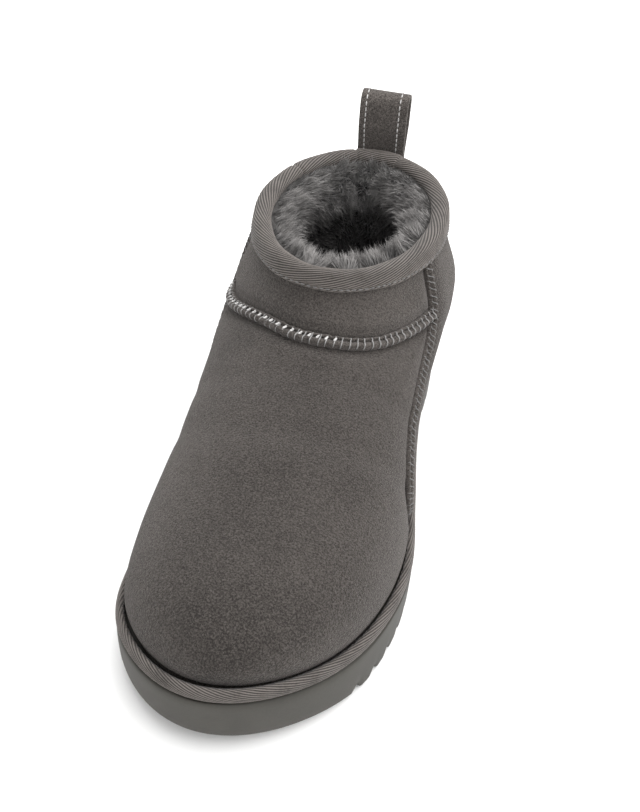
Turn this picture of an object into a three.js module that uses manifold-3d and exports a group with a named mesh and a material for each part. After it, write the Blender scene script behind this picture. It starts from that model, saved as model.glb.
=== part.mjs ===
// A low sheepskin boot for the left foot, standing on its sole.
// Millimetres, +Z up. The toe points along -Y and the outer side of the foot is +X.
// The origin is on the floor, under the middle of the outsole's length and width.
//
// The boot is a stack of rings around the foot. Each ring is given by two numbers:
// a height v, from 0 at the seam with the sole to 1 at the collar's edge, and
// a turn, an angle that starts at the heel's middle and goes round by the outer side.
import * as THREE from 'three';
import Module from 'manifold-3d';
import { mergeVertices } from 'three/addons/utils/BufferGeometryUtils.js';

const wasm = await Module();
wasm.setup();

// ---------------------------------------------------------------- driving dimensions
const LENGTH = 268; // outsole, heel to toe
const HEEL_RADIUS = 35; // outsole's curve behind the heel, seen from above
const TOE_RADIUS = 37; // outsole's curve in front of the toes
const GAP = 0.3; // between pieces that touch

const WALL = 9; // upper: skin and the deep fleece inside it
const WALL_AT_ANKLE = 12; // below the collar, where the fleece stands up freely
const WALL_AT_RIM = 4.6; // where the collar tape presses the fleece flat
const WALL_AT_SEAM = 7; // where the upper is sewn to the sole

const TOE_SPRING = 6; // how far the sole lifts under the toes
const HEEL_BEVEL = 2; // how far it lifts behind the heel
const ARCH_RISE = 2; // how far it lifts under the arch
const GROOVE_WIDTH = 3;
const GROOVE_DEPTH = 2.8;
const GROOVE_PITCH = 10;
const GROOVE_WAVE = 2.4; // sideways swing of a groove
const WAVE_STEP = 11; // from one bend of a groove to the next

const GROOVES = [
  { first: 20, count: 5 }, // under the heel
  { first: 88, count: 15 }, // from the arch to the toes
];

const TAPE = 1.3; // collar tape's thickness
const TAPE_DROP = 0.07; // how far down the ring stack the collar tape reaches

const LOOP_WIDTH = 23; // heel pull loop
const LOOP_THICKNESS = 1.9;
const LOOP_GAP = 7; // the finger gap, front to back
const LOOP_FOOT_Z = 82; // lower end of the sewn tails
const LOOP_TOP_Z = 143;

const STEPS_UP = 24; // ring steps from the sole to the collar
const STEPS_ROUND = 56; // points round a ring
const SOLE_STEPS_ROUND = 96;

// Outsole's outline. along: from the heel's back end, centre: of the width, + is the
// outer side, half: half of the width. The two end rows take their roundness from a radius.
const OUTLINE = [
  { along: 0, centre: -1, radius: HEEL_RADIUS },
  { along: 35, centre: -1, half: 36.5 },
  { along: 70, centre: 0, half: 36.5 },
  { along: 110, centre: 2.5, half: 38 },
  { along: 150, centre: 1, half: 46 },
  { along: 185, centre: -1, half: 52.8 },
  { along: 215, centre: -3, half: 50.6 },
  { along: 245, centre: -7, half: 39.5 },
  { along: LENGTH, centre: -9, radius: TOE_RADIUS },
];

// Height of the outsole's top edge above the floor.
const RIM = [
  { along: 0, z: 27 },
  { along: 60, z: 25 },
  { along: 120, z: 22 },
  { along: 190, z: 21.5 },
  { along: 235, z: 23.5 },
  { along: LENGTH, z: 27 },
];

// The upper at its fullest, where it bulges past the sole's waist on the inner side.
const FULLEST = [
  { along: 0, centre: -2, radius: 36 },
  { along: 35, centre: -2.5, half: 39 },
  { along: 70, centre: -5, half: 43 },
  { along: 110, centre: -6, half: 45.5 },
  { along: 150, centre: -5, half: 48 },
  { along: 185, centre: -3.5, half: 50.5 },
  { along: 215, centre: -4.5, half: 49 },
  { along: 245, centre: -7.5, half: 39 },
  { along: LENGTH, centre: -9, radius: TOE_RADIUS },
];

// The upper's rings from the sole to the collar. back, front: how far the ring reaches,
// from the heel's back end. backUp, frontUp: its height there, above the outsole's rim.
// sole: share of the outsole's outline in its shape, trimmed all round by trim.
// oval: share of a plain oval, of half-width half, lean to the outer side. The rest of
// the shape is the fullest outline.
const RINGS = [
  { back: 5, backUp: GAP, front: 262, frontUp: GAP, sole: 1, trim: 5, oval: 0, half: 50, lean: -5 },
  { back: 4.5, backUp: 6, front: 263, frontUp: 5.5, sole: 1, trim: 4, oval: 0, half: 50, lean: -5 },
  { back: 3.5, backUp: 14, front: 262.5, frontUp: 13, sole: 0.7, trim: 2.5, oval: 0, half: 50, lean: -5 },
  { back: 3.5, backUp: 24, front: 255, frontUp: 22.5, sole: 0.3, trim: 2, oval: 0, half: 50, lean: -5 },
  { back: 4.5, backUp: 34, front: 239, frontUp: 31.5, sole: 0.1, trim: 2, oval: 0.05, half: 50, lean: -5 },
  { back: 6, backUp: 42, front: 216, frontUp: 40, sole: 0, trim: 2, oval: 0.15, half: 50, lean: -5 },
  { back: 7, backUp: 48, front: 190, frontUp: 48.5, sole: 0, trim: 2, oval: 0.35, half: 49.5, lean: -4.5 },
  { back: 8, backUp: 53, front: 162, frontUp: 57, sole: 0, trim: 2, oval: 0.6, half: 48.5, lean: -4.5 },
  { back: 8.5, backUp: 59, front: 140, frontUp: 65, sole: 0, trim: 2, oval: 0.85, half: 47, lean: -5 },
  { back: 9, backUp: 67, front: 131, frontUp: 73.5, sole: 0, trim: 2, oval: 1, half: 44.5, lean: -5.5 },
  { back: 9.5, backUp: 76.5, front: 125.5, frontUp: 82, sole: 0, trim: 2, oval: 1, half: 41.5, lean: -6.2 },
  { back: 9.5, backUp: 86, front: 123, frontUp: 90.5, sole: 0, trim: 2, oval: 1, half: 40, lean: -6.5 },
];

// ---------------------------------------------------------------- curves through rows
// A smooth curve through a table: column y against column x, at x = at.
function through(rows, x, y, at) {
  let i = 0;
  while (i < rows.length - 2 && rows[i + 1][x] < at) i++;
  const slope = (k) => {
    const a = rows[Math.max(k - 1, 0)];
    const b = rows[Math.min(k + 1, rows.length - 1)];
    return (b[y] - a[y]) / (b[x] - a[x]);
  };
  const span = rows[i + 1][x] - rows[i][x];
  const s = (at - rows[i][x]) / span;
  const h = s * s * (3 - 2 * s);
  const ease = span * (slope(i) * s * (1 - s) ** 2 - slope(i + 1) * s * s * (1 - s));
  return THREE.MathUtils.lerp(rows[i][y], rows[i + 1][y], h) + ease;
}

// An outline's rows with its fullness, the factor of a plain oval, so its ends stay round.
const withFullness = (rows) =>
  rows.map((row) => {
    const share = row.along / LENGTH;
    const roundness = 2 * Math.sqrt(share * (1 - share));
    const full = row.radius ? Math.sqrt((row.radius * LENGTH) / 2) : row.half / roundness;
    return { ...row, full };
  });
const soleRows = withFullness(OUTLINE);
const fullestRows = withFullness(FULLEST);
const fullness = (along) => through(soleRows, 'along', 'full', along);
const centreLine = (along) => through(soleRows, 'along', 'centre', along);
const rimZ = (along) => through(RIM, 'along', 'z', along);

const outlineAt = (turn) => {
  const along = (LENGTH * (1 - Math.cos(turn))) / 2;
  return { along, across: centreLine(along) + Math.sin(turn) * fullness(along) };
};
const turns = (n) => Array.from({ length: n }, (_, i) => (2 * Math.PI * i) / n);
const widths = turns(SOLE_STEPS_ROUND).map((turn) => outlineAt(turn).across);
const ACROSS_MIDDLE = (Math.max(...widths) + Math.min(...widths)) / 2;

const place = (along, across, z) =>
  new THREE.Vector3(across - ACROSS_MIDDLE, LENGTH / 2 - along, z);

// ---------------------------------------------------------------- the upper's surface
const ringRows = RINGS.map((ring, i) => ({ ...ring, v: i / (RINGS.length - 1) }));

function skin(v, turn) {
  const value = (column) => through(ringRows, 'v', column, v);
  const share = (1 - Math.cos(turn)) / 2;
  const along = THREE.MathUtils.lerp(value('back'), value('front'), share);
  const [sole, oval] = [value('sole'), value('oval')];
  const mix = (a, b, c) => a * sole + b * oval + c * (1 - sole - oval);
  const fullest = (column) => through(fullestRows, 'along', column, along);
  const half = mix(fullness(along) - value('trim'), value('half'), fullest('full'));
  const middle = mix(centreLine(along), value('lean'), fullest('centre'));
  const up = THREE.MathUtils.lerp(value('backUp'), value('frontUp'), share);
  return place(along, middle + Math.sin(turn) * half, rimZ(along) + up);
}

// The skin's outward direction. It is level at the sole, so that the wall stands on it.
function outward(v, turn) {
  const step = 1e-3;
  const low = Math.max(v - step, 0);
  const high = Math.min(v + step, 1);
  const up = skin(high, turn).sub(skin(low, turn));
  const round = skin(v, turn + step).sub(skin(v, turn - step));
  const normal = up.cross(round).normalize();
  normal.z *= THREE.MathUtils.smoothstep(v, 0, 0.12);
  return normal.normalize();
}

const wallAt = (v) => {
  const foot = THREE.MathUtils.lerp(WALL_AT_SEAM, WALL, THREE.MathUtils.smoothstep(v, 0, 0.2));
  const ankle = THREE.MathUtils.lerp(foot, WALL_AT_ANKLE, THREE.MathUtils.smoothstep(v, 0.5, 0.8));
  return THREE.MathUtils.lerp(ankle, WALL_AT_RIM, THREE.MathUtils.smoothstep(v, 0.85, 0.97));
};
const outside = (v, turn, proud = 0) =>
  skin(v, turn).addScaledVector(outward(v, turn), proud);
const inside = (v, turn, proud = 0) =>
  skin(v, turn).addScaledVector(outward(v, turn), -wallAt(v) - proud);

// ---------------------------------------------------------------- closed surfaces
function surface(points, triangles) {
  const geometry = new THREE.BufferGeometry().setFromPoints(points);
  geometry.setIndex(triangles);
  geometry.computeVertexNormals();
  return geometry;
}

const quad = (a, b, c, d) => [a, b, c, a, c, d];

// A ring-shaped solid: loops[i][j] is point j round the boot on loop i of the section.
function ringSolid(loops) {
  const [n, m] = [loops.length, loops[0].length];
  const at = (i, j) => (i % n) * m + (j % m);
  const triangles = [];
  for (let i = 0; i < n; i++) {
    for (let j = 0; j < m; j++) {
      triangles.push(...quad(at(i, j), at(i + 1, j), at(i + 1, j + 1), at(i, j + 1)));
    }
  }
  return surface(loops.flat(), triangles);
}

// A stack of loops from the bottom up, closed by strips that run straight across.
function stackSolid(loops) {
  const [n, m] = [loops.length, loops[0].length];
  const at = (i, j) => i * m + (j % m);
  const triangles = [];
  for (let i = 0; i < n - 1; i++) {
    for (let j = 0; j < m; j++) {
      triangles.push(...quad(at(i, j), at(i + 1, j), at(i + 1, j + 1), at(i, j + 1)));
    }
  }
  for (let j = 0; j < m / 2; j++) {
    const far = m - j;
    const top = n - 1;
    triangles.push(...quad(at(0, j), at(0, j + 1), at(0, far - 1), at(0, far)));
    triangles.push(...quad(at(top, j), at(top, far), at(top, far - 1), at(top, j + 1)));
  }
  return surface(loops.flat(), triangles);
}

function toSolid(geometry) {
  const bare = geometry.clone();
  bare.deleteAttribute('normal');
  bare.deleteAttribute('uv');
  const merged = mergeVertices(bare, 1e-4);
  return new wasm.Manifold(
    new wasm.Mesh({
      numProp: 3,
      vertProperties: merged.attributes.position.array,
      triVerts: new Uint32Array(merged.index.array),
    }),
  );
}

function fromSolid(solid) {
  const { vertProperties, triVerts } = solid.getMesh();
  const geometry = new THREE.BufferGeometry();
  geometry.setAttribute('position', new THREE.BufferAttribute(vertProperties, 3));
  geometry.setIndex(new THREE.BufferAttribute(triVerts, 1));
  return geometry;
}

// ---------------------------------------------------------------- upper
function upperGeometry() {
  const round = turns(STEPS_ROUND);
  const heights = Array.from({ length: STEPS_UP + 1 }, (_, i) => i / STEPS_UP);
  const outer = heights.map((v) => round.map((turn) => outside(v, turn)));
  const inner = heights.map((v) => round.map((turn) => inside(v, turn)));
  return ringSolid([...outer, ...inner.reverse()]);
}

// ---------------------------------------------------------------- insole
const INSOLE_THICKNESS = 7;
const INSOLE_TRIM = 1; // clear of the wall all round

function insoleGeometry() {
  const loop = (up, trim) =>
    turns(STEPS_ROUND).map((turn) => {
      const edge = inside(0, turn, trim);
      edge.z = rimZ(LENGTH / 2 - edge.y) + up;
      return edge;
    });
  return stackSolid([
    loop(GAP, INSOLE_TRIM),
    loop(INSOLE_THICKNESS * 0.75, INSOLE_TRIM),
    loop(INSOLE_THICKNESS, INSOLE_TRIM + 2),
  ]);
}

// ---------------------------------------------------------------- outsole
function soleBottomZ(along) {
  const lift = THREE.MathUtils.smoothstep;
  const toe = TOE_SPRING * Math.max(0, (along - 205) / (LENGTH - 205)) ** 2;
  const heel = HEEL_BEVEL * (1 - lift(along, 0, 22));
  const arch = ARCH_RISE * lift(along, 92, 106) * (1 - lift(along, 128, 142));
  return toe + heel + arch;
}

// Side of the sole from the tread up. share: of the height, inset: in from the outline.
const SOLE_SIDE = [
  { share: 0, inset: 5 },
  { share: 0.05, inset: 3 },
  { share: 0.2, inset: 1.4 },
  { share: 0.45, inset: 0.3 },
  { share: 0.7, inset: 0 },
  { share: 0.93, inset: 0.2 },
  { share: 1, inset: 1.2 },
];

function insetOutline(turn, inset) {
  const step = 1e-3;
  const [a, p, b] = [-step, 0, step].map((d) => outlineAt(turn + d));
  const [da, dx] = [b.along - a.along, b.across - a.across];
  const size = Math.hypot(da, dx);
  return { along: p.along + (inset * dx) / size, across: p.across - (inset * da) / size };
}

function grooveSolid(along) {
  const reach = 70; // past the sole's edge on both sides
  const bends = Math.ceil(reach / WAVE_STEP);
  const edge = (side) =>
    Array.from({ length: 2 * bends + 1 }, (_, i) => {
      const k = i - bends;
      const swing = k % 2 ? GROOVE_WAVE / 2 : -GROOVE_WAVE / 2;
      return new THREE.Vector2(k * WAVE_STEP, swing + (side * GROOVE_WIDTH) / 2);
    });
  const outline = new THREE.Shape([...edge(-1), ...edge(1).reverse()]);
  const groove = new THREE.ExtrudeGeometry(outline, {
    depth: 2 * GROOVE_DEPTH,
    bevelEnabled: false,
  });
  const low = soleBottomZ(along) - GROOVE_DEPTH;
  groove.translate(0, LENGTH / 2 - along, low);
  return toSolid(groove);
}

function outsoleGeometry() {
  const round = turns(SOLE_STEPS_ROUND);
  const loops = SOLE_SIDE.map(({ share, inset }) =>
    round.map((turn) => {
      const { along, across } = insetOutline(turn, inset);
      return place(along, across, THREE.MathUtils.lerp(soleBottomZ(along), rimZ(along), share));
    }),
  );
  let sole = toSolid(stackSolid(loops));
  for (const { first, count } of GROOVES) {
    for (let i = 0; i < count; i++) sole = sole.subtract(grooveSolid(first + i * GROOVE_PITCH));
  }
  return fromSolid(sole);
}

// ---------------------------------------------------------------- tapes
// The padded tape that covers the seam between upper and sole. Its outer face follows
// the sole's outline, and its inner face follows the skin.
function soleTapeGeometry() {
  const round = turns(STEPS_ROUND);
  const face = [
    { inset: 1.6, up: GAP },
    { inset: 0.5, up: 1.6 },
    { inset: 0.2, up: 3.4 },
    { inset: 0.8, up: 5.4 },
    { inset: 2.2, up: 6.8 },
  ];
  const outer = face.map(({ inset, up }) =>
    round.map((turn) => {
      const { along, across } = insetOutline(turn, inset);
      return place(along, across, rimZ(along) + up);
    }),
  );
  const coveredSteps = [3, 2, 1, 0];
  const inner = coveredSteps.map((i) =>
    round.map((turn) => outside(i / STEPS_UP, turn, GAP)),
  );
  return ringSolid([...outer, ...inner]);
}

// The woven tape folded over the collar's edge: down the outside, over, down the inside.
function collarTapeGeometry() {
  const round = turns(STEPS_ROUND);
  const steps = [1, 1 - TAPE_DROP / 2, 1 - TAPE_DROP];
  const loop = (v, side, proud) => round.map((turn) => side(v, turn, proud));
  const crest = (rise) =>
    round.map((turn) => {
      const middle = outside(1, turn).add(inside(1, turn)).multiplyScalar(0.5);
      middle.z += rise;
      return middle;
    });
  const shell = (proud, rise) => [
    ...steps.map((v) => loop(v, outside, proud)).reverse(),
    crest(rise),
    ...steps.map((v) => loop(v, inside, proud)),
  ];
  return ringSolid([...shell(GAP + TAPE, GAP + 1.6 * TAPE), ...shell(GAP, GAP).reverse()]);
}

// ---------------------------------------------------------------- pull loop
// A strip of suede sewn behind the collar with both tails, and its bight above it.
function pullLoopGeometry() {
  const behind = outside(1, 0, GAP + TAPE + GAP).y; // clear of the collar tape
  const tails = 2 * LOOP_THICKNESS;
  const [low, high] = [LOOP_FOOT_Z, LOOP_TOP_Z];
  const neck = skin(1, 0).z + 4; // the bight opens above this height
  const lean = 3.4; // the bight leans this far over the opening
  const front = behind - lean;
  const back = front + LOOP_GAP + 2 * LOOP_THICKNESS;
  const round = (back - front) / 2;
  // Drawn in the plane of Y and Z, then given its width along X.
  const outline = new THREE.Shape();
  outline.moveTo(behind, low);
  outline.lineTo(behind + tails, low);
  outline.lineTo(behind + tails, neck - 1);
  outline.lineTo(back, neck + 9);
  outline.lineTo(back, high - round);
  outline.absarc(front + round, high - round, round, 0, Math.PI, false);
  outline.lineTo(front, neck + 9);
  outline.lineTo(behind, neck - 1);
  outline.closePath();
  const gap = new THREE.Path();
  const middle = behind + LOOP_THICKNESS;
  gap.moveTo(middle, neck);
  gap.lineTo(front + LOOP_THICKNESS, neck + 9);
  gap.lineTo(front + LOOP_THICKNESS, high - round);
  gap.absarc(front + round, high - round, LOOP_GAP / 2, Math.PI, 0, true);
  gap.lineTo(back - LOOP_THICKNESS, neck + 9);
  gap.closePath();
  outline.holes.push(gap);
  const strip = new THREE.ExtrudeGeometry(outline, {
    depth: LOOP_WIDTH,
    bevelEnabled: false,
    curveSegments: 10,
  });
  // Turns the drawing's own x, y and depth into Y, Z and X.
  strip.applyMatrix4(new THREE.Matrix4().set(0, 0, 1, 0, 1, 0, 0, 0, 0, 1, 0, 0, 0, 0, 0, 1));
  strip.translate(skin(1, 0).x - LOOP_WIDTH / 2, 0, 0);
  return strip;
}

// ---------------------------------------------------------------- the boot
const suede = { color: 0x5b5652, roughness: 0.95, metalness: 0 };
const fleece = { color: 0x66625e, roughness: 1, metalness: 0 };
const tape = { color: 0x65615c, roughness: 0.8, metalness: 0 };
const foam = { color: 0x5a5953, roughness: 0.6, metalness: 0 };

function piece(name, geometry, finish) {
  const mesh = new THREE.Mesh(geometry, new THREE.MeshStandardMaterial(finish));
  mesh.name = name;
  return mesh;
}

const boot = new THREE.Group();
boot.name = 'sheepskin_boot';
boot.add(
  piece('upper', upperGeometry(), suede),
  piece('outsole', outsoleGeometry(), foam),
  piece('insole', insoleGeometry(), fleece),
  piece('sole_tape', soleTapeGeometry(), tape),
  piece('collar_tape', collarTapeGeometry(), tape),
  piece('pull_loop', pullLoopGeometry(), suede),
);

export default boot;
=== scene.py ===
# %% [markdown]
# # A low sheepskin boot
# The boot is one left foot boot of grey suede with the fleece turned in. A maker cuts flat
# panels, sews them edge to edge on the last (the wooden foot that gives a boot its shape),
# binds both ends with woven tape and closes the upper with a light moulded sole.
# This lesson builds it the same way: first the last, as a function that says where the skin
# is, then flat grids laid on it. Every length is in millimetres until a mesh is written.

# %% Load the frame
import math
import bpy
import bmesh
import numpy as np
from mathutils import Matrix, Vector


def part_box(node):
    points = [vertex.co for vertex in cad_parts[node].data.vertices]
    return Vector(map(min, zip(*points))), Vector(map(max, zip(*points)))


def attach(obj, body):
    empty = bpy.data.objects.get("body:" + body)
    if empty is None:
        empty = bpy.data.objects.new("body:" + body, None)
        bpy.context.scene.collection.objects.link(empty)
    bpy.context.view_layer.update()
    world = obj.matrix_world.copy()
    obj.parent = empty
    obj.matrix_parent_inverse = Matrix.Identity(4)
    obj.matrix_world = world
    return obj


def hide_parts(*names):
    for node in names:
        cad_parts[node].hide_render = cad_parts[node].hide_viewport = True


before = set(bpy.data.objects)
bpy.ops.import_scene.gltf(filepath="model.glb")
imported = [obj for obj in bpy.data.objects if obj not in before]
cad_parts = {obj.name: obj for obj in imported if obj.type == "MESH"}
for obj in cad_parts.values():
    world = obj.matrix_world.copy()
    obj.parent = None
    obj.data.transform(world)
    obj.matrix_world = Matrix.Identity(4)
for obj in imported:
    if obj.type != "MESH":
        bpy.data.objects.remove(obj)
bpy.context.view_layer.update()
sole_low, sole_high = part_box("outsole")
MM = 0.001
LENGTH = (sole_high.y - sole_low.y) / MM

# %% [markdown]
# ## The last
# The last could be sculpted by eye, but then the panels, tapes and stitches would each need
# fitting to it. Here it is a stack of rings worked out from a few tables, and `skin(v, turn)`
# gives a point on it: v runs from 0 at the sole to 1 at the collar's edge, and turn is the
# angle round the foot, from the heel's middle by the outer side to the toe at half a turn.

# %% Outlines
def table(columns, *rows):
    return dict(zip(columns.split(), np.array(rows, float).T))


def rows_of(columns):
    return zip(*columns.values())


def through(columns, x, y, at):
    """A smooth curve through column y against column x."""
    xs, ys, at = columns[x], columns[y], np.asarray(at, float)
    before = np.maximum(np.arange(len(xs)) - 1, 0)
    after = np.minimum(np.arange(len(xs)) + 1, len(xs) - 1)
    slope = (ys[after] - ys[before]) / (xs[after] - xs[before])
    i = np.clip(np.searchsorted(xs, at) - 1, 0, len(xs) - 2)
    span = xs[i + 1] - xs[i]
    s = (at - xs[i]) / span
    ease = span * (slope[i] * s * (1 - s) ** 2 - slope[i + 1] * s * s * (1 - s))
    return ys[i] + (ys[i + 1] - ys[i]) * s * s * (3 - 2 * s) + ease


def with_fullness(outline):
    """Adds the factor of a plain oval, so that the ends stay round."""
    share = outline["along"] / LENGTH
    middle = slice(1, -1)
    full = np.sqrt(outline["half"] * LENGTH / 2)
    full[middle] = outline["half"][middle] / (2 * np.sqrt(share * (1 - share))[middle])
    return {**outline, "full": full}


# In the first and last rows, half holds the curve's radius at that end.
SOLE_OUTLINE = with_fullness(table(
    "along centre half",
    (0, -1, 35), (35, -1, 36.5), (70, 0, 36.5), (110, 2.5, 38), (150, 1, 46),
    (185, -1, 52.8), (215, -3, 50.6), (245, -7, 39.5), (LENGTH, -9, 37)))
FULLEST = with_fullness(table(
    "along centre half",
    (0, -2, 36), (35, -2.5, 39), (70, -5, 43), (110, -6, 45.5), (150, -5, 48),
    (185, -3.5, 50.5), (215, -4.5, 49), (245, -7.5, 39), (LENGTH, -9, 37)))
RIM = table("along z", (0, 27), (60, 25), (120, 22), (190, 21.5), (235, 23.5), (LENGTH, 27))
print("outline rows", len(SOLE_OUTLINE["along"]), "rim rows", len(RIM["along"]))

# %% Rings of the upper
RINGS = table(
    "back back_up front front_up sole trim oval half lean",
    (5, 0.3, 262, 0.3, 1, 5, 0, 50, -5),
    (4.5, 6, 263, 5.5, 1, 4, 0, 50, -5),
    (3.5, 14, 262.5, 13, 0.7, 2.5, 0, 50, -5),
    (3.5, 24, 255, 22.5, 0.3, 2, 0, 50, -5),
    (4.5, 34, 239, 31.5, 0.1, 2, 0.05, 50, -5),
    (6, 42, 216, 40, 0, 2, 0.15, 50, -5),
    (7, 48, 190, 48.5, 0, 2, 0.35, 49.5, -4.5),
    (8, 53, 162, 57, 0, 2, 0.6, 48.5, -4.5),
    (8.5, 59, 140, 65, 0, 2, 0.85, 47, -5),
    (9, 67, 131, 73.5, 0, 2, 1, 44.5, -5.5),
    (9.5, 76.5, 125.5, 82, 0, 2, 1, 41.5, -6.2),
    (9.5, 86, 123, 90.5, 0, 2, 1, 40, -6.5))
RINGS["v"] = np.linspace(0, 1, len(RINGS["back"]))

def rim_z(along):
    return through(RIM, "along", "z", along)


def outline_at(turn, inset=0.0):
    """A point of the sole's outline, seen from above, moved inwards by inset."""
    def point(t):
        along = LENGTH * (1 - np.cos(t)) / 2
        half = np.sin(t) * through(SOLE_OUTLINE, "along", "full", along)
        return along, through(SOLE_OUTLINE, "along", "centre", along) + half
    step = 1e-3
    (a0, x0), (a, x), (a1, x1) = point(turn - step), point(turn), point(turn + step)
    size = np.hypot(a1 - a0, x1 - x0)
    return a + inset * (x1 - x0) / size, x - inset * (a1 - a0) / size


def across_sole(turn, inset, share):
    """A point this share of the way over from the outline's inner side to its outer side."""
    inner_along, inner = outline_at(2 * np.pi - turn, inset)
    outer_along, outer = outline_at(turn, inset)
    return inner_along + (outer_along - inner_along) * share, inner + (outer - inner) * share


around = np.linspace(0, 2 * np.pi, 96, endpoint=False)
widths = outline_at(around)[1]
ACROSS_MIDDLE = (widths.max() + widths.min()) / 2


def place(along, across, z):
    return np.stack(np.broadcast_arrays(across - ACROSS_MIDDLE, LENGTH / 2 - along, z), -1)


def smoothstep(low, high, x):
    s = np.clip((x - low) / (high - low), 0, 1)
    return s * s * (3 - 2 * s)


def skin(v, turn):
    v, turn = np.broadcast_arrays(np.asarray(v, float), np.asarray(turn, float))
    ring = {name: through(RINGS, "v", name, v) for name in RINGS if name != "v"}
    share = (1 - np.cos(turn)) / 2
    along = ring["back"] + (ring["front"] - ring["back"]) * share
    parts = [ring["sole"], ring["oval"], 1 - ring["sole"] - ring["oval"]]
    halves = [through(SOLE_OUTLINE, "along", "full", along) - ring["trim"], ring["half"],
              through(FULLEST, "along", "full", along)]
    middles = [through(SOLE_OUTLINE, "along", "centre", along), ring["lean"],
               through(FULLEST, "along", "centre", along)]
    half = sum(p * h for p, h in zip(parts, halves))
    middle = sum(p * m for p, m in zip(parts, middles))
    up = ring["back_up"] + (ring["front_up"] - ring["back_up"]) * share
    return place(along, middle + np.sin(turn) * half, rim_z(along) + up)


def unit(vectors):
    return vectors / np.linalg.norm(vectors, axis=-1, keepdims=True)


LEVEL_BELOW = 0.12  # under this v the outward direction turns level, so the wall stands upright


def outward(v, turn):
    step = 1e-3
    up = skin(np.minimum(v + step, 1), turn) - skin(np.maximum(v - step, 0), turn)
    level = skin(v, turn + step) - skin(v, turn - step)
    normal = unit(np.cross(up, level))
    normal[..., 2] *= smoothstep(0, LEVEL_BELOW, np.broadcast_to(v, normal.shape[:-1]))
    return unit(normal)


print("collar back", skin(1, 0).round(1), "toe", skin(0.2, np.pi).round(1))

# %% [markdown]
# ## Creases and seams on the last
# Suede over fleece never lies quite smooth. It sinks beside a seam, where the thread pulls
# the fleece flat, and it has a few broad folds where the ankle bends. A cloth simulation
# would find its own folds; placing them one by one keeps them where this boot has them.

# %% Seam lines
# The vamp's top edge, as shares of the last's height: it crests over the instep, is a little
# lower on the outer side, and falls away towards the inner side.
SEAM_CREST, SEAM_OUTER, SEAM_INNER = 0.765, 0.745, 0.64
OUTER_FALL, INNER_FALL = (180, 140), (200, 275)  # turns in degrees where each fall starts and ends
SIDE_TOP, SIDE_FOOT = math.radians(112), math.radians(96)  # the outer side seam at each end
INNER_SIDE = math.radians(265)


def seam_v(turn):
    degrees = np.degrees(turn)
    outer = (SEAM_CREST - SEAM_OUTER) * smoothstep(*OUTER_FALL, degrees)
    inner = (SEAM_CREST - SEAM_INNER) * smoothstep(*INNER_FALL, degrees)
    return SEAM_CREST - outer - inner


def side_turn(v):
    return SIDE_FOOT + (SIDE_TOP - SIDE_FOOT) * smoothstep(-0.3, 0.8, np.asarray(v, float))


def inner_side(v):
    return np.full(np.shape(v), INNER_SIDE)


def outer_side_and_round(v):
    return side_turn(v) + 2 * np.pi


print("vamp seam heights", seam_v(np.radians([112, 150, 190, 230, 265])).round(3))

# %% Folds
# Each fold is a soft trough (or ridge, where deep is negative) with a middle on the last, a
# length and a width. slant turns it, in degrees from level.
FOLDS = table(
    "turn v length width slant deep",
    (222, 0.60, 34, 7, -14, 0.5), (138, 0.62, 30, 7, 16, 0.6), (126, 0.46, 36, 10, 38, 0.7),
    (236, 0.44, 34, 10, -34, 0.4), (180, 0.55, 46, 12, 0, -0.6), (60, 0.36, 36, 9, 12, 1.0),
    (306, 0.38, 36, 9, -12, 0.9), (20, 0.60, 40, 9, 4, 0.6), (196, 0.86, 30, 8, 8, 0.5),
    (160, 0.88, 26, 8, -10, 0.4))
FOLD_REACH = 60  # mm past which a fold is never felt, such as on the boot's far side


def fold_depth(v, turn):
    here, total = skin(v, turn), 0.0
    for turn_there, v_there, length, width, slant, deep in rows_of(FOLDS):
        turn_there, slant = math.radians(turn_there), math.radians(slant)
        middle = skin(v_there, turn_there)
        level = unit(skin(v_there, turn_there + 0.01) - middle)
        up = unit(skin(v_there + 0.01, turn_there) - middle)
        run = level * math.cos(slant) + up * math.sin(slant)
        rise = up * math.cos(slant) - level * math.sin(slant)
        away = here - middle
        off = ((away @ run) / length) ** 2 + ((away @ rise) / width) ** 2
        near = np.exp(-((away ** 2).sum(-1)) / FOLD_REACH ** 2)
        total = total + deep * np.exp(-2 * off) * near
    return total


def laid(v, turn, proud=0.0):
    """A point proud of the suede's own surface, folds and all."""
    v, turn = np.broadcast_arrays(np.asarray(v, float), np.asarray(turn, float))
    lift = np.asarray(proud - fold_depth(v, turn))
    return skin(v, turn) + outward(v, turn) * lift[..., None]


half_way_up = fold_depth(np.full(72, 0.45), np.radians(np.arange(0, 360, 5)))
print("deepest fold half way up", round(float(half_way_up.max()), 2), "mm")

# %% [markdown]
# ## Two ways to make a mesh
# A panel starts as a flat grid, as a cutter's panel starts flat, and each of its points is
# then laid on the boot. Its flat size becomes the UV map, so a weave keeps its real scale.
# A thing that is there hundreds of times, a stitch or a tuft, is one small shape repeated.

# %% Write a mesh
def finish_piece(mesh, material, slot, *replaced):
    """The piece has its mesh's name."""
    piece = bpy.data.objects.new(mesh.name, mesh)
    bpy.context.collection.objects.link(piece)
    mesh.materials.append(material)
    mesh.shade_smooth()
    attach(piece, "root")
    if replaced:
        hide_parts(*replaced)
    print(piece.name, len(mesh.polygons), "faces")
    return piece


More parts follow.
